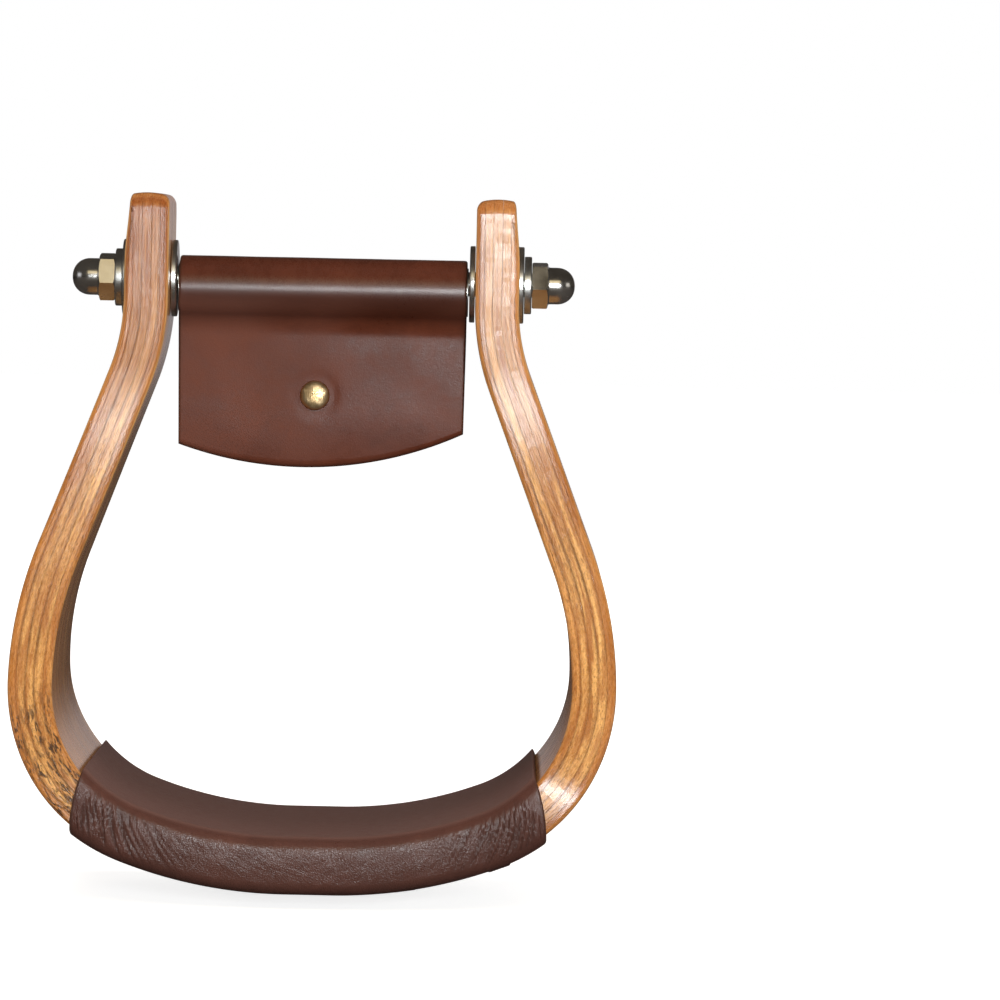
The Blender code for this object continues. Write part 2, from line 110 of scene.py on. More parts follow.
def along(s):
    """Where the middle of the strip is at length s, and which way it runs."""
    x, z, way, left = 0.0, bottom_z, 0.0, abs(s)
    for i, (length, turn) in enumerate(stretches):
        step = left if i == len(stretches) - 1 else min(left, length)
        share = turn * step / length
        if abs(share) < 1e-12:
            x += step * math.cos(way)
            z += step * math.sin(way)
        else:
            radius = step / share
            x += radius * (math.sin(way + share) - math.sin(way))
            z += radius * (math.cos(way) - math.cos(way + share))
        way += share
        left -= step
        if left <= 1e-9:
            break
    return (-x if s < 0 else x), z, way


def bent(s, n, y):
    """A point of the flat strip, n out from its middle, bent to shape (m)."""
    x, z, way = along(s)
    side = -1.0 if s < 0 else 1.0
    point = (x + side * n * math.sin(way), y, z - n * math.cos(way))
    return Vector(point) * 0.001


flare_turn, hollow, rounded = two_bends(
    (tread_depth - arm_depth) / 2, flare_height, 22.9, 0.833
)


def half_depth(s):
    """Half the front-to-back size of the bell shape at length s."""
    down = -along(s)[1] - flare_top
    if down <= 0:
        return arm_depth / 2
    if down >= flare_height:
        return tread_depth / 2
    if down <= hollow * math.sin(flare_turn):
        return arm_depth / 2 + hollow - math.sqrt(hollow**2 - down**2)
    to_go = flare_height - down
    if to_go <= rounded * math.sin(flare_turn):
        return tread_depth / 2 - rounded + math.sqrt(rounded**2 - to_go**2)
    start = hollow * math.sin(flare_turn)
    deep = arm_depth / 2 + hollow * (1 - math.cos(flare_turn))
    return deep + (down - start) * math.tan(flare_turn)


def wander(s, y, k):
    """The glue lines aren't quite true: how far line k strays at a place."""
    if k in (0, 5):
        return 0.0
    place = Vector((s * 0.035, 3.7 * k + (5.0 if y > 0 else 0.0), 0.0))
    return 0.16 * noise.noise(place) + 0.05 * noise.noise(place * 3.1)


def eased(value, low, high):
    share = min(max((value - low) / (high - low), 0.0), 1.0)
    return share * share * (3 - 2 * share)


def veneer_outline(s, k):
    """The section of veneer k, with softened corners and worn outer edges."""
    low = -bow_half + k * (ply_thick + glue_line)
    high = low + ply_thick + (squeeze if k < 4 else 0.0)
    low -= squeeze if k > 0 else 0.0
    tip = max(abs(s) - (strip_half - tip_round), 0.0) / tip_round
    dome = 1 - math.sqrt(max(1 - tip**2, 0.0))
    if k == 4:
        high -= 1.2 * eased(along(s)[1], 4.0, arm_top) + 0.8 * dome
    if k == 0:
        low += 1.7 * dome
    rough = 0.05 * noise.noise(Vector((s * 0.11, k * 7.3, 1.0)))
    outline = []
    for y_side, corner in ((1, back_corner), (-1, front_corner)):
        over = max(abs(s) - (strip_half - corner), 0.0)
        edge = half_depth(s) - corner + math.sqrt(max(corner**2 - over**2, 0.0))
        edge += rough + 0.02 * noise.noise(Vector((s * 0.5, k * 3.1, y_side * 9.0)))
        edge = min(edge, tread_depth / 2) - (0.03 if k in (1, 3) else 0.0)
        corners = []
        for at, outside, face in ((low, k == 0, -1), (high, k == 4, 1)):
            radius, steps = (sanded_round, 6) if outside else (arris, 1)
            line = k if face < 0 else k + 1
            at += wander(s, y_side, line) * (1.0 if abs(s) < strip_half - 1 else 0.6)
            arc = []
            for i in range(steps + 1):
                a = math.pi / 2 * i / steps
                in_n, in_y = radius * (1 - math.sin(a)), radius * (1 - math.cos(a))
                arc.append((at - face * in_n, edge - in_y))
            if outside:
                arc.append((at, edge - radius - 0.7))
            corners.append(arc if face > 0 else arc[::-1])
        side = corners[0] + [((low + high) / 2, edge)] + corners[1]
        outline.append([(n, y_side * y) for n, y in side])
    return outline[0] + outline[1][::-1]


def drawn(rings):
    """A closed bar: a first face, drawn out through each ring in turn."""
    bm = bmesh.new()
    edge = [bm.verts.new(p) for p in rings[0]]
    cap = bm.faces.new(edge)
    for ring in rings[1:]:
        old = [v.co.copy() for v in edge]
        made = bmesh.ops.extrude_face_region(bm, geom=[cap])["geom"]
        cap = next(g for g in made if isinstance(g, bmesh.types.BMFace))
        fresh = {tuple(v.co): v for v in made if isinstance(v, bmesh.types.BMVert)}
        edge = [fresh[tuple(co)] for co in old]
        for vert, point in zip(edge, ring):
            vert.co = point
    bmesh.ops.recalc_face_normals(bm, faces=bm.faces)
    return bm


def made_of(bm, name, material, sharp=26.0):
    """The bmesh, in metres and in place, as a smooth-shaded piece."""
    mesh = bpy.data.meshes.new(name)
    bm.to_mesh(mesh)
    bm.free()
    mesh.shade_smooth()
    mesh.set_sharp_from_angle(angle=math.radians(sharp))
    mesh.materials.append(material)
    piece = bpy.data.objects.new(name, mesh)
    bpy.context.scene.collection.objects.link(piece)
    return piece


def shaved(piece, tool, how="DIFFERENCE", sharp=26.0):
    """Cuts the piece with a helper shape and throws the helper away."""
    finish = piece.data.materials[0]
    cut = piece.modifiers.new("cut", "BOOLEAN")
    cut.operation, cut.solver, cut.object = how, "EXACT", tool
    bpy.context.view_layer.update()
    graph = bpy.context.evaluated_depsgraph_get()
    result = bpy.data.meshes.new_from_object(piece.evaluated_get(graph))
    result.materials.clear()
    result.materials.append(finish)
    result.shade_smooth()
    result.set_sharp_from_angle(angle=math.radians(sharp))
    piece.modifiers.clear()
    old = piece.data
    piece.data = result
    result.name = piece.name
    bpy.data.meshes.remove(old)
    bpy.data.objects.remove(tool)


helper = bpy.data.materials.new("helper")


def round_bar(start, end, radius, segments=48, axis="Y", place=(0, 0, 0)):
    """A helper cylinder, turned about axis from Z, from start to end along it."""
    bm = bmesh.new()
    bmesh.ops.create_cone(
        bm, cap_ends=True, segments=segments, radius1=radius, radius2=radius, depth=end - start
    )
    bmesh.ops.translate(bm, verts=bm.verts, vec=(0, 0, (start + end) / 2))
    turn = Matrix.Rotation(math.pi / 2, 3, axis)
    bmesh.ops.rotate(bm, verts=bm.verts, cent=(0, 0, 0), matrix=turn)
    bmesh.ops.translate(bm, verts=bm.verts, vec=place)
    bmesh.ops.scale(bm, verts=bm.verts, vec=(0.001, 0.001, 0.001))
    return made_of(bm, "helper", helper)


path_s = np.linspace(-strip_half, strip_half, 3000)
path_xz = np.array([along(s)[:2] for s in path_s])


def unbend(piece):
    """Stores on every point where it lay in the flat strip: s, y and n (mm)."""
    co = np.empty(len(piece.data.vertices) * 3, np.float32)
    piece.data.vertices.foreach_get("co", co)
    co = co.reshape(-1, 3) * 1000.0
    out = np.empty_like(co)
    tangent = np.gradient(path_xz, axis=0)
    tangent /= np.linalg.norm(tangent, axis=1)[:, None]
    at_once = 4000  # points compared with the whole path in one step
    for first in range(0, len(co), at_once):
        some = slice(first, first + at_once)
        near = ((co[some][:, None, [0, 2]] - path_xz[None]) ** 2).sum(2).argmin(1)
        off = co[some][:, [0, 2]] - path_xz[near]
        t = tangent[near]
        out[some, 0] = path_s[near] + (off * t).sum(1)
        out[some, 1] = co[some][:, 1]
        out[some, 2] = off[:, 0] * t[:, 1] - off[:, 1] * t[:, 0]
    for i, (s, y, n) in enumerate(out):
        k = (n + bow_half + glue_line / 2) / (ply_thick + glue_line)
        if 0.3 < k < 4.7 and abs(k - round(k)) < 0.3:
            out[i, 2] -= wander(float(s), float(y), round(k))
    flat = piece.data.attributes.new("flat_strip", "FLOAT_VECTOR", "POINT")
    flat.data.foreach_set("vector", out.ravel())


def put(tree, kind, values=None, **settings):
    """A shader node with its settings; a value that is a socket is linked."""
    made = tree.nodes.new(kind)
    for key, value in settings.items():
        setattr(made, key, value)
    for key, value in (values or {}).items():
        socket = made.inputs[key]
        if isinstance(value, bpy.types.NodeSocket):
            tree.links.new(value, socket)
        else:
            socket.default_value = value
    return made


def maths(tree, operation, a, b=0.0, c=0.0, clamp=False):
    values = {0: a, 1: b, 2: c}
    return put(tree, "ShaderNodeMath", values, operation=operation, use_clamp=clamp).outputs[0]


def blended(tree, factor, a, b, mode="MIX"):
    made = put(tree, "ShaderNodeMix", data_type="RGBA", blend_type=mode)
    for index, value in ((0, factor), (6, a), (7, b)):
        if isinstance(value, bpy.types.NodeSocket):
            tree.links.new(value, made.inputs[index])
        else:
            made.inputs[index].default_value = value
    return made.outputs[2]


def ramped(tree, value, *stops):
    """A colour ramp from (position, grey or colour) stops."""
    made = put(tree, "ShaderNodeValToRGB", {0: value})
    elements = made.color_ramp.elements
    while len(elements) < len(stops):
        elements.new(0.5)
    for element, (position, colour) in zip(elements, stops):
        element.position = position
        grey = isinstance(colour, (int, float))
        element.color = (colour, colour, colour, 1) if grey else (*colour, 1)
    return made.outputs[0]


def stretched(tree, source, scale):
    values = {0: source, 1: scale}
    return put(tree, "ShaderNodeVectorMath", values, operation="MULTIPLY").outputs[0]


def speckle(tree, source, scale, detail=2.0, distortion=0.0, roughness=0.5):
    values = {"Vector": source, "Scale": scale, "Detail": detail}
    values |= {"Distortion": distortion, "Roughness": roughness}
    return put(tree, "ShaderNodeTexNoise", values).outputs["Fac"]


def spread(tree, value, low, high, start, end, curve="LINEAR"):
    """Takes low..high to start..end, and holds the ends beyond them."""
    values = {0: value, 1: low, 2: high, 3: start, 4: end}
    return put(tree, "ShaderNodeMapRange", values, interpolation_type=curve).outputs[0]


def new_group(name, **inputs):
    """An empty node group that takes these inputs and gives a whole finish."""
    tree = bpy.data.node_groups.new(name, "ShaderNodeTree")
    sockets = tree.interface
    for kind, labels in inputs.items():
        for label in labels:
            sockets.new_socket(label, in_out="INPUT", socket_type="NodeSocket" + kind)
    for label, kind in (("Colour", "Color"), ("Height", "Float"), ("Roughness", "Float")):
        sockets.new_socket(label, in_out="OUTPUT", socket_type="NodeSocket" + kind)
    return tree, tree.nodes.new("NodeGroupInput").outputs


def gives(tree, colour, height, roughness):
    """Closes a node group with the finish that it gives."""
    values = {"Colour": colour, "Height": height, "Roughness": roughness}
    put(tree, "NodeGroupOutput", values)


def worn_by(shader, tree, skin, strength, depth):
    """Lays the finish of a node group on a material, with its relief as bump."""
    tree.links.new(skin["Colour"], shader["Base Color"])
    relief = {"Strength": strength, "Distance": depth, "Height": skin["Height"]}
    tree.links.new(put(tree, "ShaderNodeBump", relief).outputs[0], shader["Normal"])


# Wood as it grows: pale and dark bands, long fibres and short open pores, all
# drawn out along the strip. The varnish lies over it and sinks into the pores.
wood, given = new_group(
    "veneer_grain", Vector=["Flat"], Color=["Pale", "Deep", "Pore Colour"], Float=["Pores"]
)
bands = speckle(wood, stretched(wood, given["Flat"], (0.006, 0.085, 0.35)), 1.0, 3.0, 0.9)
fibres = speckle(wood, stretched(wood, given["Flat"], (0.07, 1.9, 2.6)), 1.0, 4.0, 0.2)
threads = speckle(wood, stretched(wood, given["Flat"], (0.16, 5.5, 6.0)), 1.0, 2.0)
open_pores = speckle(wood, stretched(wood, given["Flat"], (0.055, 2.7, 3.1)), 1.0, 1.0, 0.1)
patchy = speckle(wood, stretched(wood, given["Flat"], (0.03, 0.05, 0.05)), 1.0, 2.0)
pore_mask = ramped(wood, open_pores, (0.60, 0.0), (0.68, 1.0))
pore_mask = maths(wood, "MULTIPLY", pore_mask, ramped(wood, patchy, (0.34, 0.25), (0.62, 1.0)))
tone = maths(wood, "MULTIPLY_ADD", bands, 0.75, maths(wood, "MULTIPLY", fibres, 0.45))
tone = ramped(wood, tone, (0.44, 0.0), (0.74, 1.0))
colour = blended(wood, tone, given["Deep"], given["Pale"])
thread_shade = ramped(wood, threads, (0.3, 0.78), (0.62, 1.08))
colour = blended(wood, 1.0, colour, thread_shade, "MULTIPLY")
pore_share = maths(wood, "MULTIPLY", pore_mask, given["Pores"])
colour = blended(wood, pore_share, colour, given["Pore Colour"])
height = maths(wood, "MULTIPLY_ADD", fibres, 0.5, maths(wood, "MULTIPLY", threads, 0.5))
height = maths(wood, "SUBTRACT", height, maths(wood, "MULTIPLY", pore_mask, 0.8))
gloss = maths(wood, "MULTIPLY_ADD", fibres, 0.16, 0.15)
gives(wood, colour, height, gloss)


# The whole skin of a veneer: its face, and its cut edge with the glue lines.
veneer_skin, given = new_group(
    "varnished_veneer",
    Vector=["Flat"],
    Color=["Pale", "Deep", "Pore Colour", "Edge Pale", "Edge Deep"],
    Float=["On Edge", "Pores"],
)
tree, flat, on_edge = veneer_skin, given["Flat"], given["On Edge"]
values = {label: given[label] for label in ("Flat", "Pale", "Deep", "Pore Colour", "Pores")}
face = put(tree, "ShaderNodeGroup", values, node_tree=wood).outputs
values |= {"Pale": given["Edge Pale"], "Deep": given["Edge Deep"], "Pores": 0.55}
cut = put(tree, "ShaderNodeGroup", values, node_tree=wood).outputs
split = put(tree, "ShaderNodeSeparateXYZ", {0: flat}).outputs
from_middle = maths(tree, "ABSOLUTE", split["X"])
# How near a glue line: the lines lie one veneer and one glue line apart.
apart = ply_thick + glue_line
ply = maths(tree, "MULTIPLY_ADD", split["Z"], 1 / apart, (bow_half + glue_line / 2) / apart)
near = maths(tree, "MULTIPLY", maths(tree, "PINGPONG", ply, 0.5), 2.0)
fray = speckle(tree, stretched(tree, flat, (0.10, 0.4, 1.9)), 1.0, 3.0)
near = maths(tree, "ADD", near, maths(tree, "MULTIPLY_ADD", fray, 0.6, -0.3))
strength = speckle(tree, stretched(tree, flat, (0.025, 0.1, 0.45)), 1.0, 2.0)
glue = ramped(tree, near, (0.0, 1.0), (0.24, 0.6), (0.56, 0.0))
glue = maths(tree, "MULTIPLY", glue, ramped(tree, strength, (0.38, 0.3), (0.6, 1.0)))
glue = maths(tree, "MULTIPLY", glue, spread(tree, from_middle, 150.0, 190.0, 1.0, 0.6))
dark_glue = blended(tree, 1.0, given["Edge Deep"], (0.36, 0.36, 0.36, 1), "MULTIPLY")
edge = blended(tree, glue, cut["Colour"], dark_glue)
rim = spread(tree, split["Z"], 2.9, 4.6, 0.0, 0.55)
edge = blended(tree, rim, edge, (0.50, 0.19, 0.04, 1))
# The cut edge took the stain unevenly: redder and darker in long streaks.
patch = speckle(tree, stretched(tree, flat, (0.03, 0.2, 0.8)), 1.0, 3.0, 0.5)
patch = ramped(tree, patch, (0.44, 0.0), (0.64, 0.7))
edge = blended(tree, patch, edge, (0.34, 0.115, 0.028, 1))
# Low on the left arm the edge tore: small dark pits that the varnish bridged.
torn = speckle(tree, stretched(tree, flat, (0.38, 0.6, 1.5)), 1.0, 4.0, 0.7)
torn = ramped(tree, torn, (0.48, 0.0), (0.58, 1.0))
crowd = speckle(tree, stretched(tree, flat, (0.07, 0.2, 0.34)), 1.0, 2.0)
torn = maths(tree, "MULTIPLY", torn, ramped(tree, crowd, (0.36, 0.15), (0.50, 1.0)))
for reach in ((-98.0, -84.0, 0.12, 1.0), (-64.0, -52.0, 1.0, 0.1)):
    torn = maths(tree, "MULTIPLY", torn, spread(tree, split["X"], *reach, "SMOOTHSTEP"))
torn = maths(tree, "MULTIPLY", torn, on_edge)
edge = blended(tree, maths(tree, "MULTIPLY", torn, 0.92), edge, (0.045, 0.024, 0.016, 1))
colour = blended(tree, on_edge, face["Colour"], edge)
# The stain pools on the end grain at the top and grows warmer down the side.
ends = spread(tree, from_middle, strip_half - 7.0, strip_half - 0.5, 0.0, 0.75)
colour = blended(tree, ends, colour, (0.40, 0.13, 0.03, 1))
low = spread(tree, from_middle, 165.0, 95.0, 0.0, 0.4)
low = maths(tree, "MULTIPLY", low, maths(tree, "SUBTRACT", 1.0, on_edge))
colour = blended(tree, low, colour, (0.62, 0.36, 0.14, 1), "MULTIPLY")
# Painted shade: the left arm's cut edges are darker and redder; the right
# arm's stay almost unchanged.
upper_arm_edges = maths(tree, "MULTIPLY", spread(tree, from_middle, 165.0, 215.0, 0.0, 1.0), on_edge)
side = maths(tree, "MULTIPLY_ADD", split["X"], 0.01, 0.5, clamp=True)
painted_arm_shade = blended(tree, side, (0.66, 0.53, 0.48, 1), (0.98, 0.96, 1.0, 1))
colour = blended(tree, upper_arm_edges, colour, painted_arm_shade, "MULTIPLY")
# The varnish shows the grain, the glue lines, the pits and its own sags.
height = put(tree, "ShaderNodeMix", {0: on_edge, 2: face["Height"], 3: cut["Height"]}).outputs[0]
ridges = speckle(tree, stretched(tree, flat, (0.34, 1.0, 3.8)), 1.0, 4.0, 0.3)
worn_flat = maths(tree, "MULTIPLY_ADD", upper_arm_edges, -0.5, 1.9)
sags = speckle(tree, stretched(tree, flat, (0.12, 0.35, 0.35)), 1.0, 1.0)
for amount, factor in (
    (maths(tree, "MULTIPLY", glue, on_edge), -0.08),
    (torn, -2.0),
    (maths(tree, "MULTIPLY", ridges, on_edge), worn_flat),
    (sags, 1.0),
):
    height = maths(tree, "MULTIPLY_ADD", amount, factor, height)
gloss = maths(tree, "ADD", face["Roughness"], 0.05)
gives(tree, colour, height, gloss)


def varnished(name, **colours):
    """Varnished veneer: where it faces front or back it is a cut edge."""
    made = bpy.data.materials.new(name)
    made.use_nodes = True
    tree = made.node_tree
    shader = tree.nodes["Principled BSDF"].inputs
    flat = put(tree, "ShaderNodeAttribute", attribute_name="flat_strip").outputs["Vector"]
    normal = put(tree, "ShaderNodeNewGeometry").outputs["Normal"]
    facing = put(tree, "ShaderNodeSeparateXYZ", {0: normal}).outputs["Y"]
    on_edge = ramped(tree, maths(tree, "ABSOLUTE", facing), (0.55, 0.0), (0.8, 1.0))
    values = {"Flat": flat, "On Edge": on_edge}
    for label, value in colours.items():
        label = label.replace("_", " ").title()
        values[label] = (*value, 1) if isinstance(value, tuple) else value
    skin = put(tree, "ShaderNodeGroup", values, node_tree=veneer_skin).outputs
    tree.links.new(skin["Roughness"], shader["Roughness"])
    worn_by(shader, tree, skin, 0.5, 0.00016)
    shader["Specular IOR Level"].default_value = 0.5
    shader["Coat Weight"].default_value = 0.42
    shader["Coat Roughness"].default_value = 0.17
    return made


face_veneer = varnished(
    "varnished_face_veneer",
    pale=(0.78, 0.44, 0.17),
    deep=(0.47, 0.20, 0.062),
    pore_colour=(0.15, 0.055, 0.018),
    pores=0.62,
    edge_pale=(0.70, 0.33, 0.10),
    edge_deep=(0.38, 0.14, 0.035),
)
core_veneer = varnished(
    "varnished_core_veneer",
    pale=(0.78, 0.46, 0.20),
    deep=(0.50, 0.22, 0.07),
    pore_colour=(0.16, 0.06, 0.02),
    pores=0.5,
    edge_pale=(0.80, 0.43, 0.145),
    edge_deep=(0.43, 0.18, 0.05),
)
count = 2 * int(strip_half / (1.25))
lengths = [strip_half * (2 * i / count - 1) for i in range(count + 1)]
straight_end = strip_half - front_corner
tips = [straight_end + front_corner * math.sin(math.radians(a)) for a in range(3, 91, 4)]
lengths = sorted([s for s in lengths if abs(s) < straight_end] + tips + [-s for s in tips])
bolt_hole, spot_face = 3.6, 10.4
for k, name in enumerate(
    ("inner_face_ply", "inner_core_ply", "middle_core_ply", "outer_core_ply", "outer_face_ply")
):
    rings = []
    for s in lengths:
        # The tops were sanded to a shallow dome across the thickness.
        dome = math.copysign(0.9 * eased(abs(s), strip_half - 7.0, strip_half), s)
        outline = veneer_outline(s, k)
        rings.append([bent(s - dome * (n / bow_half) ** 2, n, y) for n, y in outline])
    outer = k in (0, 4)
    veneer = made_of(drawn(rings), name + "_bent", face_veneer if outer else core_veneer)
    shaved(veneer, round_bar(-90, 90, bolt_hole))
    if k == 4:
        shaved(veneer, round_bar(50.6, 60, spot_face, 72))
        shaved(veneer, round_bar(-60, -50.6, spot_face, 72))
    unbend(veneer)
    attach(veneer, "bow")
    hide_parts(name)

# The cross bolt and what is clamped on it: a quarter-inch rod, wide washers
# against the wood, a smaller washer and an acorn nut outside each arm. All of
# it is plated steel, bright where it is new and grey in the turned marks.

plating, given = new_group("plated_steel", Vector=["Place"], Color=["Bright", "Dull"])
cloud = speckle(plating, stretched(plating, given["Place"], (160, 160, 160)), 1.0, 4.0)
turning = speckle(plating, stretched(plating, given["Place"], (3200, 300, 300)), 1.0, 2.0)
scratch = speckle(plating, stretched(plating, given["Place"], (500, 3800, 900)), 1.0, 2.0)
tone = ramped(plating, cloud, (0.35, 0.0), (0.65, 1.0))
plate = blended(plating, tone, given["Dull"], given["Bright"])
rough = maths(plating, "MULTIPLY_ADD", cloud, 0.22, 0.02)
rough = maths(plating, "ADD", rough, maths(plating, "MULTIPLY", scratch, 0.06))
marks = maths(plating, "MULTIPLY_ADD", turning, 0.4, maths(plating, "MULTIPLY", cloud, 0.8))
gives(plating, plate, marks, rough)


def plated(name, bright, dull, bump, matt):
    made = bpy.data.materials.new(name)
    made.use_nodes = True
    tree = made.node_tree
    shader = tree.nodes["Principled BSDF"].inputs
    place = put(tree, "ShaderNodeTexCoord").outputs["Object"]
    values = {"Place": place, "Bright": (*bright, 1), "Dull": (*dull, 1)}
    steel = put(tree, "ShaderNodeGroup", values, node_tree=plating).outputs
    tree.links.new(maths(tree, "ADD", steel["Roughness"], matt), shader["Roughness"])
    worn_by(shader, tree, steel, bump, 0.0002)
    shader["Metallic"].default_value = 1.0
    return made


chrome = plated("chromed_acorn_nut", (0.80, 0.79, 0.76), (0.60, 0.58, 0.54), 0.12, 0.06)
zinc = plated("zinc_plated_washer", (0.78, 0.79, 0.77), (0.56, 0.56, 0.53), 0.3, 0.14)


def turned(profile, segments):
    """A body of revolution about X from a closed profile of (x, radius)."""
    bm = bmesh.new()
    verts = [bm.verts.new((x * 0.001, 0.0, r * 0.001)) for x, r in profile]
    for i, vert in enumerate(verts):
        if max(profile[i][1], profile[i - 1][1]) > 0:
            bm.edges.new((verts[i - 1], vert))
    bmesh.ops.spin(
        bm, geom=bm.verts[:] + bm.edges[:], cent=(0, 0, 0), axis=(1, 0, 0),
        angle=2 * math.pi, steps=segments, use_merge=True,
    )
    bmesh.ops.remove_doubles(bm, verts=bm.verts, dist=1e-7)
    bmesh.ops.recalc_face_normals(bm, faces=bm.faces)
    return bm


def clamp_on(piece, node, body="bow"):
    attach(piece, body)
    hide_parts(node)


bolt_r, bolt_end = 3.175, 61.5
rod = [(bolt_end - 0.7, bolt_r), (bolt_end, 2.5), (bolt_end, 0)]
rod = [(-x, r) for x, r in rod[::-1]] + rod
clamp_on(made_of(turned(rod, 48), "cross_bolt_rod", zinc), "cross_bolt")


def washer_profile(start, thick, bore, rim, edge=0.35):
    """A punched washer: one face rolls over at the rim, the other is crisp."""
    points = [(start, bore + 0.15), (start, rim - 0.12), (start + 0.12, rim)]
    end = start + thick
    points += [(end - edge, rim)]
    for i in range(1, 5):
        a = math.pi / 2 * i / 4
        points.append((end - edge + edge * math.sin(a), rim - edge + edge * math.cos(a)))
    points += [(end, bore + 0.3), (end - 0.3, bore)]
    points += [(start + 0.15, bore)]
    return points


bore = 3.45
for side, label, nut_turn in ((-1, "left", 14.0), (1, "right", 9.0)):
    for node, start, thick, rim in (
        ("inner_washer_", 39.5, -1.4, 10.0),
        ("outer_washer_", 50.7, 1.6, 10.0),
        ("small_washer_", 52.4, 1.9, 7.5),
    ):
        # The inner washers lie the other way round: their rolled rim faces in.
        profile = washer_profile(0.0, abs(thick), bore, rim)
        turn_over = math.copysign(1.0, thick)
        profile = [(side * (start + turn_over * x), r) for x, r in profile]
        washer = made_of(turned(profile, 96), node + label + "_punched", zinc)
        clamp_on(washer, node + label)
    # The acorn nut: a turned and crowned blank, brought to six flats.
    base, corner, dome = 54.4, 5.555 / math.cos(math.pi / 6), 4.795
    outline = [
        (0, 3.4), (0, corner - 0.55), (0.25, corner - 0.1), (0.6, corner + 0.3),
        (3.5, corner + 0.3), (3.85, corner - 0.15), (4.1, corner - 0.75),
        (4.25, dome + 0.25), (4.5, dome + 0.02), (5.2, dome), (6.6, dome),
    ]
    for a in range(8, 89, 8):
        c, d = math.cos(math.radians(a)), math.sin(math.radians(a))
        outline.append((6.6 + 4.6 * d, dome * c**0.92))
    outline += [(11.2, 0), (8.8, 0), (7.6, 3.4)]
    outline = [(side * (base + x), r) for x, r in outline]
    nut = made_of(turned(outline, 96), "acorn_nut_" + label, chrome, 28)
    hexagon = round_bar(side * 60 - 12, side * 60 + 12, corner, 6)
    hexagon.data.transform(Matrix.Rotation(math.radians(nut_turn), 4, "X"))
    shaved(nut, hexagon, "INTERSECT", 28)
    clamp_on(nut, "cap_nut_" + label)

# The roller: a thin steel tube that hangs on the bolt. Only the rims of its
# ends show between the leather and the washers.

axis_z = -2.205


def lowered(bm):
    bmesh.ops.translate(bm, verts=bm.verts, vec=(0, 0, axis_z * 0.001))
    return bm


tube = [(37.65, 6.35), (37.8, 6.2), (37.8, 5.75), (37.6, 5.55)]
tube = [(-x, r) for x, r in tube[::-1]] + tube
tube_piece = made_of(lowered(turned(tube, 96)), "roller_tube_drawn", zinc)
clamp_on(tube_piece, "roller_tube", "roller")

# The roller cover: one piece of oiled leather folded round the tube, its two
# layers pinched together under it and hanging as a flap. The lower edge is
# cut to a shallow curve, a little askew, and all cut edges are burnished.

leather, given = new_group(
    "oiled_leather",
    Vector=["Place"],
    Color=["Light", "Dark", "Burnished"],
    Float=["Grain", "Worn", "Fold", "Dull", "Scuff And Sheen"],
)
tree = leather
cloudy = speckle(tree, given["Place"], 0.055, 4.0, 0.6)
mottle = speckle(tree, given["Place"], 0.33, 4.0, 0.3, 0.6)
cells = put(
    tree,
    "ShaderNodeTexVoronoi",
    {"Vector": given["Place"], "Scale": 1.75, "Randomness": 1.0},
    feature="DISTANCE_TO_EDGE",
).outputs["Distance"]
cells = ramped(tree, cells, (0.0, 0.0), (0.22, 1.0))
pebble = speckle(tree, given["Place"], 1.2, 3.0, 0.8)
follicle = speckle(tree, given["Place"], 4.2, 2.0)
tone = ramped(tree, maths(tree, "MULTIPLY_ADD", mottle, 0.55, cloudy), (0.5, 0.0), (1.05, 1.0))
hide = blended(tree, tone, given["Dark"], given["Light"])
pebble_shade = ramped(tree, pebble, (0.3, 0.92), (0.65, 1.03))
hide = blended(tree, 1.0, hide, pebble_shade, "MULTIPLY")
# Cut edges are burnished. Folds and creases are darkened with painted
# shade; dull, rubbed hide goes matt and pale grey, partly wear and partly
# painted sheen.
burnish = maths(tree, "MULTIPLY", given["Worn"], 0.8, clamp=True)
hide = blended(tree, burnish, hide, given["Burnished"])
# Painted shade: the colour that folds and creases are darkened toward.
painted_crease_shade = blended(tree, 1.0, given["Dark"], (0.45, 0.45, 0.45, 1), "MULTIPLY")
hide = blended(tree, maths(tree, "MULTIPLY", given["Fold"], 0.7, clamp=True), hide, painted_crease_shade)
# Partly wear and partly painted sheen: dull hide is lightened toward pale grey.
values = {0: given["Light"], 1: (1.5, 1.5, 1.5), 2: (0.05, 0.05, 0.05)}
bloom_and_sheen = put(tree, "ShaderNodeVectorMath", values, operation="MULTIPLY_ADD").outputs[0]
hide = blended(tree, maths(tree, "MULTIPLY", given["Dull"], given["Scuff And Sheen"]), hide, bloom_and_sheen)
height = maths(tree, "MULTIPLY_ADD", cells, 0.45, maths(tree, "MULTIPLY", pebble, 0.9))
height = maths(tree, "MULTIPLY_ADD", follicle, 0.25, height)
height = maths(tree, "MULTIPLY", height, given["Grain"])
sheen = maths(tree, "MULTIPLY_ADD", given["Dull"], 0.46, 0.13)
sheen = maths(tree, "MULTIPLY_ADD", mottle, 0.22, sheen)
sheen = maths(tree, "MULTIPLY_ADD", cells, -0.05, sheen)
gives(tree, hide, height, sheen)


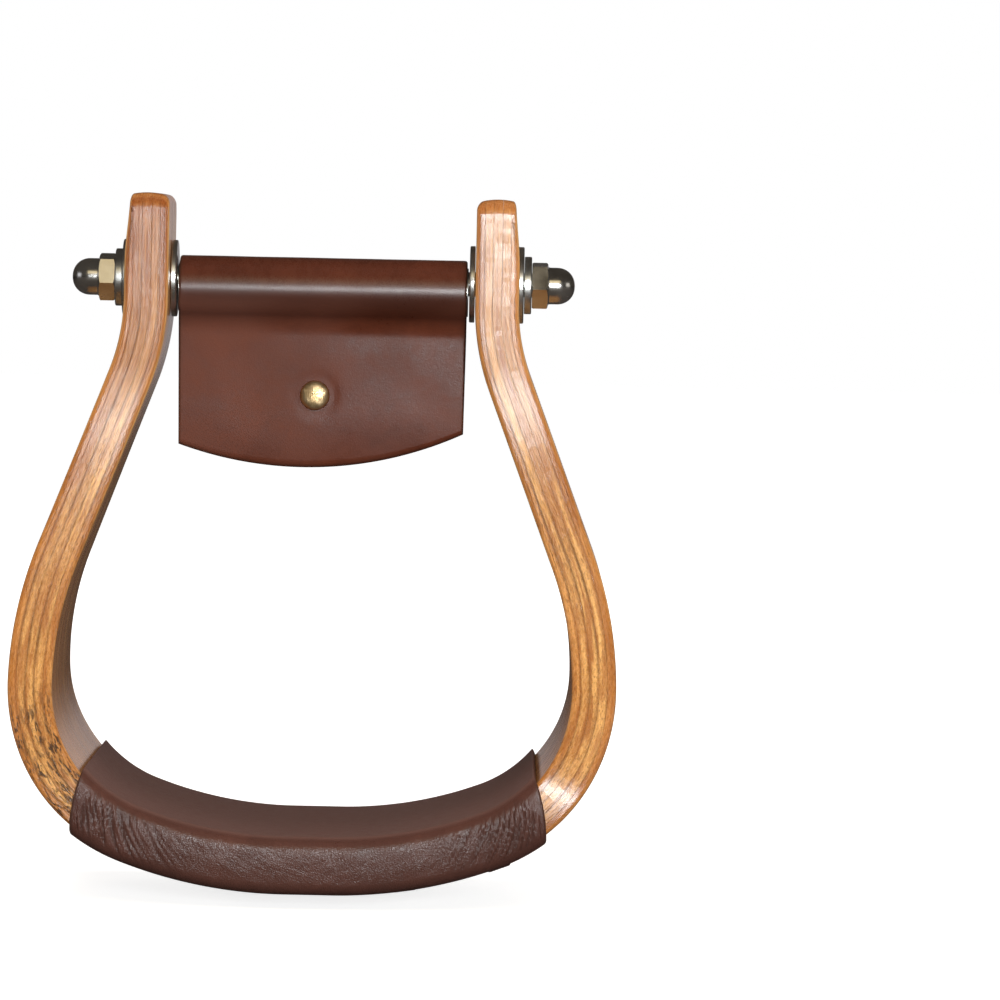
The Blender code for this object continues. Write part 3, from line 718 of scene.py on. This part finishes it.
def tanned(name, grain, specular=0.5, scuff_and_sheen=0.0, depth=0.00012, bent_hide=True, **dyes):
    """Leather, with the pattern laid on the flat hide where it is bent."""
    made = bpy.data.materials.new(name)
    made.use_nodes = True
    tree = made.node_tree
    shader = tree.nodes["Principled BSDF"].inputs
    if bent_hide:
        place = put(tree, "ShaderNodeAttribute", attribute_name="hide_place").outputs["Vector"]
    else:
        place = put(tree, "ShaderNodeTexCoord").outputs["Object"]
        place = stretched(tree, place, (1000, 1000, 1000))
    values = {"Place": place, "Grain": grain, "Scuff And Sheen": scuff_and_sheen}
    values |= {label.title(): (*dye, 1) for label, dye in dyes.items()}
    marks = {
        label: put(tree, "ShaderNodeAttribute", attribute_name=label.lower()).outputs["Fac"]
        for label in ("Worn", "Fold", "Dull", "Waxed")
    }
    waxed = marks.pop("Waxed")
    skin = put(tree, "ShaderNodeGroup", values | marks, node_tree=leather).outputs
    tree.links.new(skin["Roughness"], shader["Roughness"])
    worn_by(shader, tree, skin, 0.5, depth)
    # Wax lies only where the hide was rubbed up to a polish.
    tree.links.new(maths(tree, "MULTIPLY", waxed, 0.75), shader["Coat Weight"])
    shader["Coat Roughness"].default_value = 0.34
    shader["Specular IOR Level"].default_value = specular
    return made


flap_leather = tanned(
    "oiled_flap_leather",
    light=(0.108, 0.0255, 0.0105),
    dark=(0.064, 0.0142, 0.0058),
    burnished=(0.045, 0.018, 0.010),
    grain=0.28,
    specular=0.18,
    scuff_and_sheen=0.4,
)
wrap_inner, hide_thick, half_wide = 6.5, 1.8, 37.5
rivet_x, rivet_z = -1.7, -29.8
flap_mid = 0.1 + hide_thick / 2
mid_r = wrap_inner + hide_thick / 2
pinch = 14.5 + axis_z
bend_r = (pinch**2 + flap_mid**2 - mid_r**2) / (2 * (mid_r - flap_mid))
join = math.atan2(pinch, bend_r + flap_mid)


def flap_length(x):
    rise = 99.0 - math.sqrt(99.0**2 - x**2)
    askew = x * math.tan(math.radians(3.0)) * (0.92 + 0.08 * (x / half_wide) ** 2)
    return 48.6 + axis_z - rise - askew


def folded_line(x):
    """Down the front half of the fold: y, z, the way out, and hide length."""
    points, run = [], 0.0
    wrap_end = math.pi / 2 + join
    for i in range(31):
        a = wrap_end * i / 30
        points.append((mid_r * math.sin(a), mid_r * math.cos(a), a, mid_r * a))
    run = mid_r * wrap_end
    for i in range(1, 11):
        a = join * (1 - i / 10)
        y, z = flap_mid + bend_r * (1 - math.cos(a)), -pinch + bend_r * math.sin(a)
        points.append((y, z, math.pi / 2 + a, run + bend_r * (join - a)))
    run += bend_r * join
    drop = flap_length(x) - pinch
    for i in range(1, 35):
        points.append((flap_mid, -pinch - drop * i / 34, math.pi / 2, run + drop * i / 34))
    return points


def hide_rings(x, inset):
    """One section of the folded hide, and what is known of each of its points."""
    ring, known = [], []
    line = folded_line(x)
    last = line[-1][3]
    half = hide_thick / 2 - inset
    sides = []
    for face in (-1, 1):  # -1 is the front layer
        outer, inner = [], []
        for y, z, a, run in line:
            to_edge = last - run
            round_off = 0.75 - math.sqrt(max(0.75**2 - max(0.75 - to_edge, 0.0) ** 2, 0.0))
            t_out = half - round_off
            t_in = half - round_off * 0.3
            ripple = 0.0
            if run > mid_r * 1.9:
                fall = eased(run, mid_r * 1.9, mid_r * 1.9 + 9.0)
                ripple = 0.16 * fall * noise.noise(Vector((x * 0.045, run * 0.05, 3.0 * face)))
                off = math.hypot(x - rivet_x, z - rivet_z + axis_z)
                ripple -= 0.26 * math.exp(-((off / 4.6) ** 2))
                ripple -= 0.10 * math.exp(-(((off - 5.2) / 1.2) ** 2))
            else:
                ripple = 0.05 * noise.noise(Vector((x * 0.09, run * 0.12, 8.0)))
            out = t_out + ripple
            back = 1.1 * max((-z + 2.2 - 33.0) / 16.0, 0.0) ** 2
            for side, off, inside in ((outer, out, 0), (inner, -t_in, 1)):
                at = (face * (y + off * math.sin(a)) + back, z + off * math.cos(a))
                side.append((*at, face * run, inside))
        sides.append((outer, inner))
    loop = sides[0][0][::-1] + sides[1][0][1:] + sides[1][1][::-1] + sides[0][1][1:]
    for y, z, run, inside in loop:
        narrow = 1 - 0.6 / (48.6 * half_wide) * max(-z - pinch, 0.0)
        ring.append(Vector((x * narrow, y, z + axis_z)) * 0.001)
        to_edge = min(last - abs(run), half_wide - abs(x))
        # The hide is darker over the roll, and painted shadow lies in the crease
        # under it; a pale grey bloom on one side of the flap, fading downward, is
        # partly painted sheen.
        flat = eased(abs(run), mid_r * 1.5, mid_r * 2.2)
        bloom_and_sheen = eased(-x, -24.0, 34.0) * (1 - 0.45 * eased(abs(run), 30.0, 46.0))
        bloom_and_sheen += 0.5 * noise.noise(Vector((x * 0.06, run * 0.08, 5.0)))
        crease_shadow = math.exp(-(((abs(run) - mid_r * 2.1) / 4.8) ** 2))
        known.append({
            "hide_place": (x, run, 3.0 * inside),
            "worn": 1.0 - min(max(to_edge - 0.15, 0.0) / 0.75, 1.0),
            "dull": 0.14 + (0.10 + 0.74 * min(max(bloom_and_sheen, 0.0), 1.0)) * flat,
            "fold": 0.30 * (1 - flat) + 1.2 * crease_shadow,
            "waxed": 1 - eased(abs(run), mid_r * 1.9, mid_r * 2.4),
        })
    return ring, known


steps = 110
columns = [half_wide * (2 * i / steps - 1) for i in range(steps + 1)]
soft = [half_wide - 0.7 * (1 - math.sin(math.radians(a))) for a in range(0, 91, 18)]
columns = sorted([x for x in columns if abs(x) < 36.7] + soft + [-x for x in soft])
rings, known = [], []
for x in columns:
    over = max(abs(x) - 36.8, 0.0)
    ring, points = hide_rings(x, 0.7 - math.sqrt(max(0.49 - over**2, 0.0)))
    rings.append(ring)
    known += points


def remember(piece, rings, known):
    """Stores what is known of each point of the hide, found again by place."""
    points = [point for ring in rings for point in ring]
    tree = KDTree(len(points))
    for i, point in enumerate(points):
        tree.insert(point, i)
    tree.balance()
    found = [known[tree.find(v.co)[1]] for v in piece.data.vertices]
    for label, value in known[0].items():
        values = [each[label] for each in found]
        if isinstance(value, tuple):
            stored = piece.data.attributes.new(label, "FLOAT_VECTOR", "POINT")
            stored.data.foreach_set("vector", [c for value in values for c in value])
        else:
            stored = piece.data.attributes.new(label, "FLOAT", "POINT")
            stored.data.foreach_set("value", values)


cover = made_of(drawn(rings), "roller_cover_folded", flap_leather, 60)
shaved(cover, round_bar(-6, 6, 1.65, axis="X", place=(rivet_x, 0, rivet_z)), sharp=60)
remember(cover, rings, known)
clamp_on(cover, "roller_cover", "roller")

# The rivet: a plated brass cap rivet through both layers, peened over a
# dished burr at the back. Its cap is a little dented from the setting.


def stood(bm):
    """Turns a body made along X to run along Y, at the rivet's place."""
    turn = Matrix.Rotation(math.pi / 2, 3, "Z")
    bmesh.ops.rotate(bm, verts=bm.verts, cent=(0, 0, 0), matrix=turn)
    bmesh.ops.translate(bm, verts=bm.verts, vec=(rivet_x * 0.001, 0, rivet_z * 0.001))
    return bm


brass = plated("rivet_plating", (0.80, 0.62, 0.38), (0.52, 0.36, 0.18), 0.5, 0.27)
seat = 2.05
cap = []
for a in (0, 8, 16, 24, 33, 42, 51, 60, 69, 78, 86):
    c, d = math.cos(math.radians(a)), math.sin(math.radians(a))
    cap.append((-seat - 1.55 * c**0.8, 3.9 * d))
cap += [(-seat - 0.05, 3.88), (-seat, 3.7), (-seat, 1.45), (-seat + 0.05, 1.4)]
cap += [(seat + 1.0, 1.4), (seat + 1.0, 2.1), (seat + 1.2, 2.05), (seat + 1.45, 1.5)]
cap += [(seat + 1.6, 0.7), (seat + 1.65, 0)]
rivet_mesh = turned(cap, 72)
for vert in rivet_mesh.verts:
    if vert.co.x < -(seat + 0.3) * 0.001:
        dent = 0.00014 * noise.noise(vert.co * 420) + 0.00007 * noise.noise(vert.co * 1100)
        vert.co.x -= dent - 0.00006
        vert.co.x = max(vert.co.x, -(seat + 1.7) * 0.001)
rivet = made_of(stood(rivet_mesh), "rivet_cap", brass, 40)
clamp_on(rivet, "flap_rivet", "roller")
burr = [(0, 1.6), (0, 3.75), (0.12, 3.9), (0.3, 3.88), (0.6, 3.4)]
burr += [(0.9, 2.6), (0.9, 1.75), (0.75, 1.6)]
burr = turned([(seat + x, r) for x, r in burr], 72)
burr = made_of(stood(burr), "rivet_burr_dished", brass, 40)
clamp_on(burr, "rivet_burr", "roller")

# The tread cover: dark brown leather wrapped wet round the tread and drawn
# together underneath, where its two edges meet. It creased in fans towards
# both ends as it was pulled in round the bend.

skin, fit = 1.5, 0.3
cover_half, cover_skew = 63.5, 3.8
inside_n = bow_half + fit


def raised(s, y):
    """How far the leather stands off the wood over the lace."""
    across = min(max((abs(y) - 8.5) / 6.0, 0.0), 1.0)
    ends = min(max((abs(s) - 50.5) / 7.5, 0.0), 1.0)
    return 2.3 * (0.5 + 0.5 * math.cos(math.pi * across)) * (0.5 + 0.5 * math.cos(math.pi * ends))


def creases(s, n, front):
    """Fans of fine folds on the front and back faces, deepest near the ends."""
    edge = cover_half - abs(s)
    lean_in = 0.80 + 0.008 * edge
    u = abs(s) * math.cos(lean_in) + n * math.sin(lean_in)
    v = n * math.cos(lean_in) - abs(s) * math.sin(lean_in)
    seed = 11.0 * front + (5.0 if s < 0 else 0.0)
    bend = 0.6 * noise.noise(Vector((u * 0.13, v * 0.09, seed)))
    fold = noise.noise(Vector((u * 0.58 + bend, v * 0.07, seed + 2.0)))
    fine = noise.noise(Vector((u * 1.1 + bend, v * 0.12, seed + 4.0)))
    strength = eased(edge, 0.5, 5.0) * (0.16 + 0.84 * (1 - eased(edge, 10.0, 36.0)))
    height = eased(n, -7.0, -3.6) * (1 - eased(n, 4.0, 7.2))
    valley = max(1 - abs(fold) * 5.0, 0.0) + 0.5 * max(1 - abs(fine) * 4.0, 0.0)
    return strength * height * valley


def own_length(share, n):
    return share * (cover_half - cover_skew * n / inside_n)


def wrapped_half(share, out, shape):
    """From the seam round the edge to the middle of the top: s, n, y."""
    points = []
    r = 1.3 + fit + out
    n = inside_n + out
    s = own_length(share, n)
    seam = 0.4 + (0.15 if shape else 0.0)
    over_lace = [0.8, 1.6, 3.0, 4.6, 6.2, 7.6, 8.6, 9.4, 10.2, 11.0, 11.8, 12.6, 13.4, 14.5]
    for y in [seam] + over_lace + [16.5, 20, 25, 31, 37, 42]:
        sunk = 0.35 * math.exp(-(((y - 0.4) / 0.8) ** 2)) if shape else 0.0
        points.append((s, n + raised(s, y) - sunk, y))
    arc = [math.radians(a) for a in range(0, 91, 10 if shape else 30)]
    for a in arc:
        at = n - r + r * math.cos(a)
        s = own_length(share, at)
        points.append((s, at, half_depth(s) + fit + out - r + r * math.sin(a)))
    top = -inside_n - out
    if shape:
        for i in range(1, 24):
            at = (n - r) + (top + r - (n - r)) * i / 24
            s = own_length(share, at)
            points.append((s, at, half_depth(s) + fit + out))
    for a in reversed(arc):
        at = top + r - r * math.cos(a)
        s = own_length(share, at)
        points.append((s, at, half_depth(s) + fit + out - r + r * math.sin(a)))
    if shape:
        # The faces belly out a little above the middle and fall away below.
        for i, (s, at, y) in enumerate(points):
            if y > 44:
                deep, over = (0.85, 8.6) if at > -2.4 else (0.55, 3.6)
                fall = min(deep * ((at + 2.4) / over) ** 2, 1.0)
                points[i] = (s, at, y - fall * eased(y, 44, 47))
    s = own_length(share, top)
    for y in (44, 40, 34, 26, 16, 6) if shape else ():
        points.append((s, top, y))
    return points


def wrapped_ring(share, thin):
    """One closed section of the cover; thin rounds its cut ends."""
    loops = {}
    for front in (1, -1):  # 1 is the back, y > 0
        loops[front] = []
        for s, n, y in wrapped_half(share, skin - thin, True):
            valley = creases(s, n, front) if y > 44 else 0.0
            swell = 0.10 * noise.noise(Vector((s * 0.16, n * 0.3 + y * 0.2, front)))
            if y > 44:
                y = min(y + swell - 0.26 * valley, 50.9)
            loops[front].append((s, n, front * y, valley, 0.0))
    outer = loops[1] + loops[-1][::-1]
    inner = wrapped_half(share, thin * 0.3, False)
    for front in (-1, 1):
        inner_half = [(s, n, front * y, 0.0, 4.0) for s, n, y in inner]
        outer += inner_half if front < 0 else inner_half[::-1]
    ring, known = [], []
    for s, n, y, valley, deep in outer:
        ring.append(bent(s, n, y))
        # The way round the tread, from the middle of its top to the seam.
        girth = abs(y) if n < -6.5 else (115 - abs(y) if n > 6.5 else 57.5 + n)
        to_end = (1 - abs(share)) * cover_half
        mark = 1.0 - min(max(to_end - 0.2, 0.0) / 1.0, 1.0)
        if n > 5 and abs(y) < 1.0:
            mark = max(mark, 1.0 - (abs(y) - 0.4) / 0.6)
        # Painted shade darkens the crease valleys and a thin band along the rounded top front
        # edge; the matt top is painted paler, partly wear and partly painted sheen.
        known.append({
            "hide_place": (s, math.copysign(girth, y), deep),
            "worn": mark,
            "fold": max(min(valley, 1.0), 0.5 * math.exp(-(((girth - 49.9) / 0.8) ** 2))),
            "dull": 0.24 + 0.76 * (1 - eased(girth, 47.5, 49.5)),
        })
    return ring, known


rows = 250
even = [2 * i / rows - 1 for i in range(rows + 1)]
shares = [0.35 * math.sin(math.pi / 2 * u) + 0.65 * u for u in even]
rim = [1 - 0.6 / cover_half * (1 - math.sin(math.radians(a))) for a in (0, 20, 40, 60, 75, 90)]
shares = sorted([u for u in shares if abs(u) < rim[0] - 0.004] + rim + [-u for u in rim])
rings, known = [], []
for share in shares:
    over = max(abs(share) * cover_half - (cover_half - 0.6), 0.0)
    ring, points = wrapped_ring(share, 0.6 - math.sqrt(max(0.36 - over**2, 0.0)))
    rings.append(ring)
    known += points
tread_leather = tanned(
    "dark_tread_leather",
    light=(0.076, 0.026, 0.018),
    dark=(0.044, 0.0140, 0.0095),
    burnished=(0.03, 0.012, 0.008),
    grain=0.9,
    specular=0.36,
    scuff_and_sheen=0.75,
    depth=0.00013,
)
wrap = made_of(drawn(rings), "tread_cover_wrapped", tread_leather, 60)

# The lace: one flat thong that draws the two edges of the cover together. It
# crosses the seam outside, passes through a slit and runs back underneath to
# the next pair of slits.

lace_wide, lace_thick, pitch, reach, turn_r = 5.4, 1.1, 23.0, 10.2, 0.75
crossings = [pitch * k for k in (-2, -1, 0, 1, 2)]
bm = bmesh.new()
for s in crossings:
    for side in (-1, 1):
        slit = bmesh.ops.create_cube(bm, size=1.0)["verts"]
        for vert in slit:
            x, y, z = vert.co
            vert.co = bent(s + 6.0 * x, inside_n - 0.1 + (z + 0.5) * 4.9, side * reach + 2.0 * y)
bmesh.ops.recalc_face_normals(bm, faces=bm.faces)
shaved(wrap, made_of(bm, "slits", helper), sharp=60)
remember(wrap, rings, known)
clamp_on(wrap, "tread_cover")

over_n = inside_n + 2.3 + skin + 0.15 + lace_thick / 2
under_n = bow_half + (fit + 2.3) / 2
knee = reach - turn_r


def through_slit(s, side):
    """Round the two bends of a slit, from under the cover to over it."""
    bends = []
    for a in range(0, 91, 15):
        c, d = math.cos(math.radians(a)), math.sin(math.radians(a))
        bends.append((s, under_n + turn_r * (1 - c), side * (knee + turn_r * d), side * d, -c))
    for a in range(90, -1, -15):
        c, d = math.cos(math.radians(a)), math.sin(math.radians(a))
        bends.append((s, over_n - turn_r * (1 - c), side * (knee + turn_r * d), side * d, c))
    return bends


run = [(crossings[0], under_n, -3.0, 0.0, -1.0), (crossings[0], under_n, -6.0, 0.0, -1.0)]
for s in crossings:
    run += through_slit(s, -1)
    run += [(s, over_n, y, 0.0, 1.0) for y in (-6.5, -3.2, 0, 3.2, 6.5)]
    run += through_slit(s, 1)[::-1]
    if s != crossings[-1]:
        for i in range(1, 9):
            run.append((s + pitch * i / 9, under_n, knee * (1 - 2 * i / 9), 0.0, -1.0))
run += [(crossings[-1], under_n, 6.0, 0.0, -1.0), (crossings[-1], under_n, 3.0, 0.0, -1.0)]
rings = []
corner = 0.42
for s, n, y, out_y, out_n in run:
    ring = []
    for across, thick in ((-1, -1), (1, -1), (1, 1), (-1, 1)):
        for a in (0, 30, 60, 90):
            c, d = math.cos(math.radians(a)), math.sin(math.radians(a))
            if across * thick < 0:
                c, d = d, c
            w = across * (lace_wide / 2 - corner * (1 - c))
            t = thick * (lace_thick / 2 - corner * (1 - d))
            ring.append((w, t))
    rings.append([bent(s + w, n + t * out_n, y + t * out_y) for w, t in ring])
lace_leather = tanned(
    "tread_lace_leather",
    light=(0.12, 0.045, 0.028),
    dark=(0.055, 0.02, 0.013),
    burnished=(0.05, 0.02, 0.013),
    grain=0.8,
    bent_hide=False,
)
lace = made_of(drawn(rings), "tread_lace_thong", lace_leather, 50)
clamp_on(lace, "tread_lace")

# The table it stands on, the lights and the camera.

bm = bmesh.new()
bmesh.ops.create_grid(bm, x_segments=1, y_segments=1, size=6.0)
bmesh.ops.translate(bm, verts=bm.verts, vec=(0, 0, cad_box[0][2] - 0.0002))
ground = bpy.data.materials.new("pale_ground")
ground.use_nodes = True
tree = ground.node_tree
shader = tree.nodes["Principled BSDF"].inputs
seen = put(tree, "ShaderNodeLightPath").outputs["Is Camera Ray"]
place = put(tree, "ShaderNodeTexCoord").outputs["Object"]
away = put(tree, "ShaderNodeVectorMath", {0: place}, operation="LENGTH").outputs["Value"]
glow = spread(tree, away, 0.12, 0.5, 0.78, 1.0)
dust = ramped(tree, speckle(tree, place, 3.0, 3.0), (0.3, 0.80), (0.7, 0.84))
tree.links.new(blended(tree, seen, (0.09, 0.085, 0.085, 1), dust), shader["Base Color"])
tree.links.new(maths(tree, "MULTIPLY", glow, seen), shader["Emission Strength"])
shader["Emission Color"].default_value = (1, 1, 1, 1)
shader["Roughness"].default_value = 0.9
shader["Specular IOR Level"].default_value = 0.0
made_of(bm, "ground", ground)

world = bpy.data.worlds.new("studio")
bpy.context.scene.world = world
world.use_nodes = True
tree = world.node_tree
tree.nodes.clear()
seen = put(tree, "ShaderNodeBackground", {"Color": (1, 1, 1, 1), "Strength": 1.0})
around = put(tree, "ShaderNodeBackground", {"Color": (0.9, 0.78, 0.66, 1), "Strength": 0.06})
camera_ray = put(tree, "ShaderNodeLightPath").outputs["Is Camera Ray"]
both = put(tree, "ShaderNodeMixShader", {0: camera_ray, 1: around.outputs[0], 2: seen.outputs[0]})
tree.links.new(both.outputs[0], put(tree, "ShaderNodeOutputWorld").inputs[0])


middle = Vector((0, 0, -0.07))


def lamp(name, place, size, power, colour, seen_in_metal=True):
    light = bpy.data.lights.new(name, "AREA")
    light.shape, light.size, light.size_y = "RECTANGLE", size[0], size[1]
    light.energy, light.color = power, colour
    obj = bpy.data.objects.new(name, light)
    obj.location = place
    obj.rotation_euler = (middle - Vector(place)).to_track_quat("-Z", "Y").to_euler()
    obj.visible_glossy = seen_in_metal
    bpy.context.scene.collection.objects.link(obj)
    return obj


lamp("key", (0.24, -1.75, 0.125), (0.54, 0.20), 20.0, (0.95, 0.98, 1.0))
above = lamp("warm_above", (0.05, -1.25, 0.62), (0.8, 0.4), 8.0, (1.0, 0.80, 0.52), False)
lamp("overhead", (0.0, -0.25, 1.3), (1.2, 0.8), 6.0, (1.0, 0.95, 0.90), False)
lamp("left_fill", (-1.6, -0.5, 0.2), (0.9, 0.8), 9.0, (1.0, 0.94, 0.88), False)
lamp("right_fill", (1.6, -0.5, 0.2), (0.9, 0.8), 9.0, (1.0, 0.94, 0.88), False)
lamp("back_fill", (0.3, 1.6, 0.5), (1.0, 0.8), 6.0, (1.0, 0.97, 0.93), False)
# White cards: the dim warm and cool shapes that the plated metal mirrors.
for name, place, size, strength, colour in (
    ("warm_card", above.location, (0.9, 0.42), 1.15, (1.0, 0.80, 0.47)),
    ("left_card", (-1.6, -0.5, 0.2), (0.8, 0.5), 0.9, (0.95, 0.95, 1.0)),
    ("right_card", (1.6, -0.5, 0.2), (0.8, 0.5), 0.9, (1.0, 0.95, 0.88)),
    ("back_card", (0.05, 1.5, 0.12), (1.4, 0.5), 0.44, (0.98, 0.92, 0.95)),
    ("front_card", (0.30, -1.9, -0.04), (0.44, 0.14), 1.3, (0.96, 0.95, 1.0)),
):
    bm = bmesh.new()
    bmesh.ops.create_grid(bm, x_segments=1, y_segments=1, size=0.5)
    facing = (middle - Vector(place)).to_track_quat("-Z", "Y").to_matrix().to_4x4()
    shape = Matrix.Translation(place) @ facing @ Matrix.Diagonal((*size, 1, 1))
    bmesh.ops.transform(bm, matrix=shape, verts=bm.verts)
    glow = bpy.data.materials.new(name)
    glow.use_nodes = True
    tree = glow.node_tree
    tree.nodes.clear()
    lit = put(tree, "ShaderNodeEmission", {"Color": (*colour, 1), "Strength": strength})
    tree.links.new(lit.outputs[0], put(tree, "ShaderNodeOutputMaterial").inputs[0])
    card = made_of(bm, name, glow)
    card.visible_camera = card.visible_diffuse = card.visible_shadow = False

lens = bpy.data.cameras.new("camera")
lens.lens, lens.sensor_width, lens.clip_end = 248.0, 36.0, 20.0
camera = bpy.data.objects.new("camera", lens)
camera.location = (0.0472, -1.8, 0.0143)
look = (Vector((0.0472, 0.0, -0.0562)) - camera.location).to_track_quat("-Z", "Y")
camera.rotation_euler = (look.to_matrix() @ Matrix.Rotation(math.radians(1.2), 3, "Z")).to_euler()
bpy.context.scene.collection.objects.link(camera)
bpy.context.scene.camera = camera
bpy.context.scene.view_settings.view_transform = "Standard"
